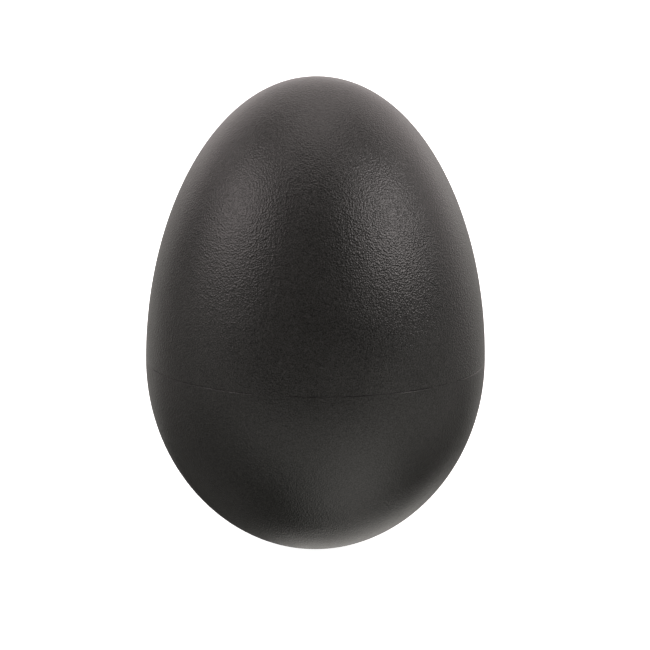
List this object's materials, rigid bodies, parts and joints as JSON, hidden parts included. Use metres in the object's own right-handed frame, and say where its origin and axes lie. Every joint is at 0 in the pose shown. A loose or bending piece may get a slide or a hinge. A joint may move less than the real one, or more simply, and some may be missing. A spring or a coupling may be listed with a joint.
{
  "type": "egg shaker",
  "caption": "Hand-held percussion egg: two welded plastic half shells with a tongue joint at the girth, holding loose steel shot.",
  "frame": {"origin": "pole of the big end, the lowest point", "axes": "+Z along the egg's axis of revolution, from the big end to the small end"},
  "size_m": [0.0426, 0.0426, 0.06],
  "materials": {
    "upper_shell": "spark-eroded grain, fine and slightly sparkling",
    "lower_shell": "very fine grain, closer to satin",
    "pellet": "tumbled steel shot"
  },
  "bodies": {
    "shell": {"upper_shell": "upper_shell", "lower_shell": "lower_shell"},
    "pellet_01": {"pellet_01": "pellet"},
    "pellet_02": {"pellet_02": "pellet"},
    "pellet_03": {"pellet_03": "pellet"},
    "pellet_04": {"pellet_04": "pellet"},
    "pellet_05": {"pellet_05": "pellet"},
    "pellet_06": {"pellet_06": "pellet"},
    "pellet_07": {"pellet_07": "pellet"},
    "pellet_08": {"pellet_08": "pellet"},
    "pellet_09": {"pellet_09": "pellet"},
    "pellet_10": {"pellet_10": "pellet"},
    "pellet_11": {"pellet_11": "pellet"},
    "pellet_12": {"pellet_12": "pellet"},
    "pellet_13": {"pellet_13": "pellet"},
    "pellet_14": {"pellet_14": "pellet"},
    "pellet_15": {"pellet_15": "pellet"},
    "pellet_16": {"pellet_16": "pellet"},
    "pellet_17": {"pellet_17": "pellet"},
    "pellet_18": {"pellet_18": "pellet"},
    "pellet_19": {"pellet_19": "pellet"},
    "pellet_20": {"pellet_20": "pellet"},
    "pellet_21": {"pellet_21": "pellet"},
    "pellet_22": {"pellet_22": "pellet"},
    "pellet_23": {"pellet_23": "pellet"},
    "pellet_24": {"pellet_24": "pellet"},
    "pellet_25": {"pellet_25": "pellet"},
    "pellet_26": {"pellet_26": "pellet"},
    "pellet_27": {"pellet_27": "pellet"},
    "pellet_28": {"pellet_28": "pellet"},
    "pellet_29": {"pellet_29": "pellet"},
    "pellet_30": {"pellet_30": "pellet"},
    "pellet_31": {"pellet_31": "pellet"},
    "pellet_32": {"pellet_32": "pellet"},
    "pellet_33": {"pellet_33": "pellet"},
    "pellet_34": {"pellet_34": "pellet"},
    "pellet_35": {"pellet_35": "pellet"},
    "pellet_36": {"pellet_36": "pellet"},
    "pellet_37": {"pellet_37": "pellet"},
    "pellet_38": {"pellet_38": "pellet"},
    "pellet_39": {"pellet_39": "pellet"},
    "pellet_40": {"pellet_40": "pellet"},
    "pellet_41": {"pellet_41": "pellet"},
    "pellet_42": {"pellet_42": "pellet"},
    "pellet_43": {"pellet_43": "pellet"},
    "pellet_44": {"pellet_44": "pellet"},
    "pellet_45": {"pellet_45": "pellet"},
    "pellet_46": {"pellet_46": "pellet"},
    "pellet_47": {"pellet_47": "pellet"},
    "pellet_48": {"pellet_48": "pellet"},
    "pellet_49": {"pellet_49": "pellet"},
    "pellet_50": {"pellet_50": "pellet"},
    "pellet_51": {"pellet_51": "pellet"},
    "pellet_52": {"pellet_52": "pellet"},
    "pellet_53": {"pellet_53": "pellet"},
    "pellet_54": {"pellet_54": "pellet"},
    "pellet_55": {"pellet_55": "pellet"}
  },
  "joints": [
    {"name": "pellet_01_throw", "type": "slide", "parent": "shell", "child": "pellet_01", "axis": [0, 0, 1], "range_m": [0, 0.0527]},
    {"name": "pellet_02_throw", "type": "slide", "parent": "shell", "child": "pellet_02", "axis": [0, 0, 1], "range_m": [0, 0.0517]},
    {"name": "pellet_03_throw", "type": "slide", "parent": "shell", "child": "pellet_03", "axis": [0, 0, 1], "range_m": [0, 0.0517]},
    {"name": "pellet_04_throw", "type": "slide", "parent": "shell", "child": "pellet_04", "axis": [0, 0, 1], "range_m": [0, 0.0517]},
    {"name": "pellet_05_throw", "type": "slide", "parent": "shell", "child": "pellet_05", "axis": [0, 0, 1], "range_m": [0, 0.0517]},
    {"name": "pellet_06_throw", "type": "slide", "parent": "shell", "child": "pellet_06", "axis": [0, 0, 1], "range_m": [0, 0.0517]},
    {"name": "pellet_07_throw", "type": "slide", "parent": "shell", "child": "pellet_07", "axis": [0, 0, 1], "range_m": [0, 0.0517]},
    {"name": "pellet_08_throw", "type": "slide", "parent": "shell", "child": "pellet_08", "axis": [0, 0, 1], "range_m": [0, 0.0483]},
    {"name": "pellet_09_throw", "type": "slide", "parent": "shell", "child": "pellet_09", "axis": [0, 0, 1], "range_m": [0, 0.0495]},
    {"name": "pellet_10_throw", "type": "slide", "parent": "shell", "child": "pellet_10", "axis": [0, 0, 1], "range_m": [0, 0.0483]},
    {"name": "pellet_11_throw", "type": "slide", "parent": "shell", "child": "pellet_11", "axis": [0, 0, 1], "range_m": [0, 0.0495]},
    {"name": "pellet_12_throw", "type": "slide", "parent": "shell", "child": "pellet_12", "axis": [0, 0, 1], "range_m": [0, 0.0483]},
    {"name": "pellet_13_throw", "type": "slide", "parent": "shell", "child": "pellet_13", "axis": [0, 0, 1], "range_m": [0, 0.0495]},
    {"name": "pellet_14_throw", "type": "slide", "parent": "shell", "child": "pellet_14", "axis": [0, 0, 1], "range_m": [0, 0.0483]},
    {"name": "pellet_15_throw", "type": "slide", "parent": "shell", "child": "pellet_15", "axis": [0, 0, 1], "range_m": [0, 0.0495]},
    {"name": "pellet_16_throw", "type": "slide", "parent": "shell", "child": "pellet_16", "axis": [0, 0, 1], "range_m": [0, 0.0483]},
    {"name": "pellet_17_throw", "type": "slide", "parent": "shell", "child": "pellet_17", "axis": [0, 0, 1], "range_m": [0, 0.0495]},
    {"name": "pellet_18_throw", "type": "slide", "parent": "shell", "child": "pellet_18", "axis": [0, 0, 1], "range_m": [0, 0.0483]},
    {"name": "pellet_19_throw", "type": "slide", "parent": "shell", "child": "pellet_19", "axis": [0, 0, 1], "range_m": [0, 0.0495]},
    {"name": "pellet_20_throw", "type": "slide", "parent": "shell", "child": "pellet_20", "axis": [0, 0, 1], "range_m": [0, 0.0421]},
    {"name": "pellet_21_throw", "type": "slide", "parent": "shell", "child": "pellet_21", "axis": [0, 0, 1], "range_m": [0, 0.0447]},
    {"name": "pellet_22_throw", "type": "slide", "parent": "shell", "child": "pellet_22", "axis": [0, 0, 1], "range_m": [0, 0.0447]},
    {"name": "pellet_23_throw", "type": "slide", "parent": "shell", "child": "pellet_23", "axis": [0, 0, 1], "range_m": [0, 0.0421]},
    {"name": "pellet_24_throw", "type": "slide", "parent": "shell", "child": "pellet_24", "axis": [0, 0, 1], "range_m": [0, 0.0447]},
    {"name": "pellet_25_throw", "type": "slide", "parent": "shell", "child": "pellet_25", "axis": [0, 0, 1], "range_m": [0, 0.0447]},
    {"name": "pellet_26_throw", "type": "slide", "parent": "shell", "child": "pellet_26", "axis": [0, 0, 1], "range_m": [0, 0.0421]},
    {"name": "pellet_27_throw", "type": "slide", "parent": "shell", "child": "pellet_27", "axis": [0, 0, 1], "range_m": [0, 0.0447]},
    {"name": "pellet_28_throw", "type": "slide", "parent": "shell", "child": "pellet_28", "axis": [0, 0, 1], "range_m": [0, 0.0447]},
    {"name": "pellet_29_throw", "type": "slide", "parent": "shell", "child": "pellet_29", "axis": [0, 0, 1], "range_m": [0, 0.0421]},
    {"name": "pellet_30_throw", "type": "slide", "parent": "shell", "child": "pellet_30", "axis": [0, 0, 1], "range_m": [0, 0.0447]},
    {"name": "pellet_31_throw", "type": "slide", "parent": "shell", "child": "pellet_31", "axis": [0, 0, 1], "range_m": [0, 0.0447]},
    {"name": "pellet_32_throw", "type": "slide", "parent": "shell", "child": "pellet_32", "axis": [0, 0, 1], "range_m": [0, 0.0421]},
    {"name": "pellet_33_throw", "type": "slide", "parent": "shell", "child": "pellet_33", "axis": [0, 0, 1], "range_m": [0, 0.0447]},
    {"name": "pellet_34_throw", "type": "slide", "parent": "shell", "child": "pellet_34", "axis": [0, 0, 1], "range_m": [0, 0.0447]},
    {"name": "pellet_35_throw", "type": "slide", "parent": "shell", "child": "pellet_35", "axis": [0, 0, 1], "range_m": [0, 0.0421]},
    {"name": "pellet_36_throw", "type": "slide", "parent": "shell", "child": "pellet_36", "axis": [0, 0, 1], "range_m": [0, 0.0447]},
    {"name": "pellet_37_throw", "type": "slide", "parent": "shell", "child": "pellet_37", "axis": [0, 0, 1], "range_m": [0, 0.0447]},
    {"name": "pellet_38_throw", "type": "slide", "parent": "shell", "child": "pellet_38", "axis": [0, 0, 1], "range_m": [0, 0.0364]},
    {"name": "pellet_39_throw", "type": "slide", "parent": "shell", "child": "pellet_39", "axis": [0, 0, 1], "range_m": [0, 0.0379]},
    {"name": "pellet_40_throw", "type": "slide", "parent": "shell", "child": "pellet_40", "axis": [0, 0, 1], "range_m": [0, 0.0364]},
    {"name": "pellet_41_throw", "type": "slide", "parent": "shell", "child": "pellet_41", "axis": [0, 0, 1], "range_m": [0, 0.0364]},
    {"name": "pellet_42_throw", "type": "slide", "parent": "shell", "child": "pellet_42", "axis": [0, 0, 1], "range_m": [0, 0.0379]},
    {"name": "pellet_43_throw", "type": "slide", "parent": "shell", "child": "pellet_43", "axis": [0, 0, 1], "range_m": [0, 0.0364]},
    {"name": "pellet_44_throw", "type": "slide", "parent": "shell", "child": "pellet_44", "axis": [0, 0, 1], "range_m": [0, 0.0364]},
    {"name": "pellet_45_throw", "type": "slide", "parent": "shell", "child": "pellet_45", "axis": [0, 0, 1], "range_m": [0, 0.0379]},
    {"name": "pellet_46_throw", "type": "slide", "parent": "shell", "child": "pellet_46", "axis": [0, 0, 1], "range_m": [0, 0.0364]},
    {"name": "pellet_47_throw", "type": "slide", "parent": "shell", "child": "pellet_47", "axis": [0, 0, 1], "range_m": [0, 0.0364]},
    {"name": "pellet_48_throw", "type": "slide", "parent": "shell", "child": "pellet_48", "axis": [0, 0, 1], "range_m": [0, 0.0379]},
    {"name": "pellet_49_throw", "type": "slide", "parent": "shell", "child": "pellet_49", "axis": [0, 0, 1], "range_m": [0, 0.0364]},
    {"name": "pellet_50_throw", "type": "slide", "parent": "shell", "child": "pellet_50", "axis": [0, 0, 1], "range_m": [0, 0.0364]},
    {"name": "pellet_51_throw", "type": "slide", "parent": "shell", "child": "pellet_51", "axis": [0, 0, 1], "range_m": [0, 0.0379]},
    {"name": "pellet_52_throw", "type": "slide", "parent": "shell", "child": "pellet_52", "axis": [0, 0, 1], "range_m": [0, 0.0364]},
    {"name": "pellet_53_throw", "type": "slide", "parent": "shell", "child": "pellet_53", "axis": [0, 0, 1], "range_m": [0, 0.0364]},
    {"name": "pellet_54_throw", "type": "slide", "parent": "shell", "child": "pellet_54", "axis": [0, 0, 1], "range_m": [0, 0.0379]},
    {"name": "pellet_55_throw", "type": "slide", "parent": "shell", "child": "pellet_55", "axis": [0, 0, 1], "range_m": [0, 0.0364]}
  ]
}
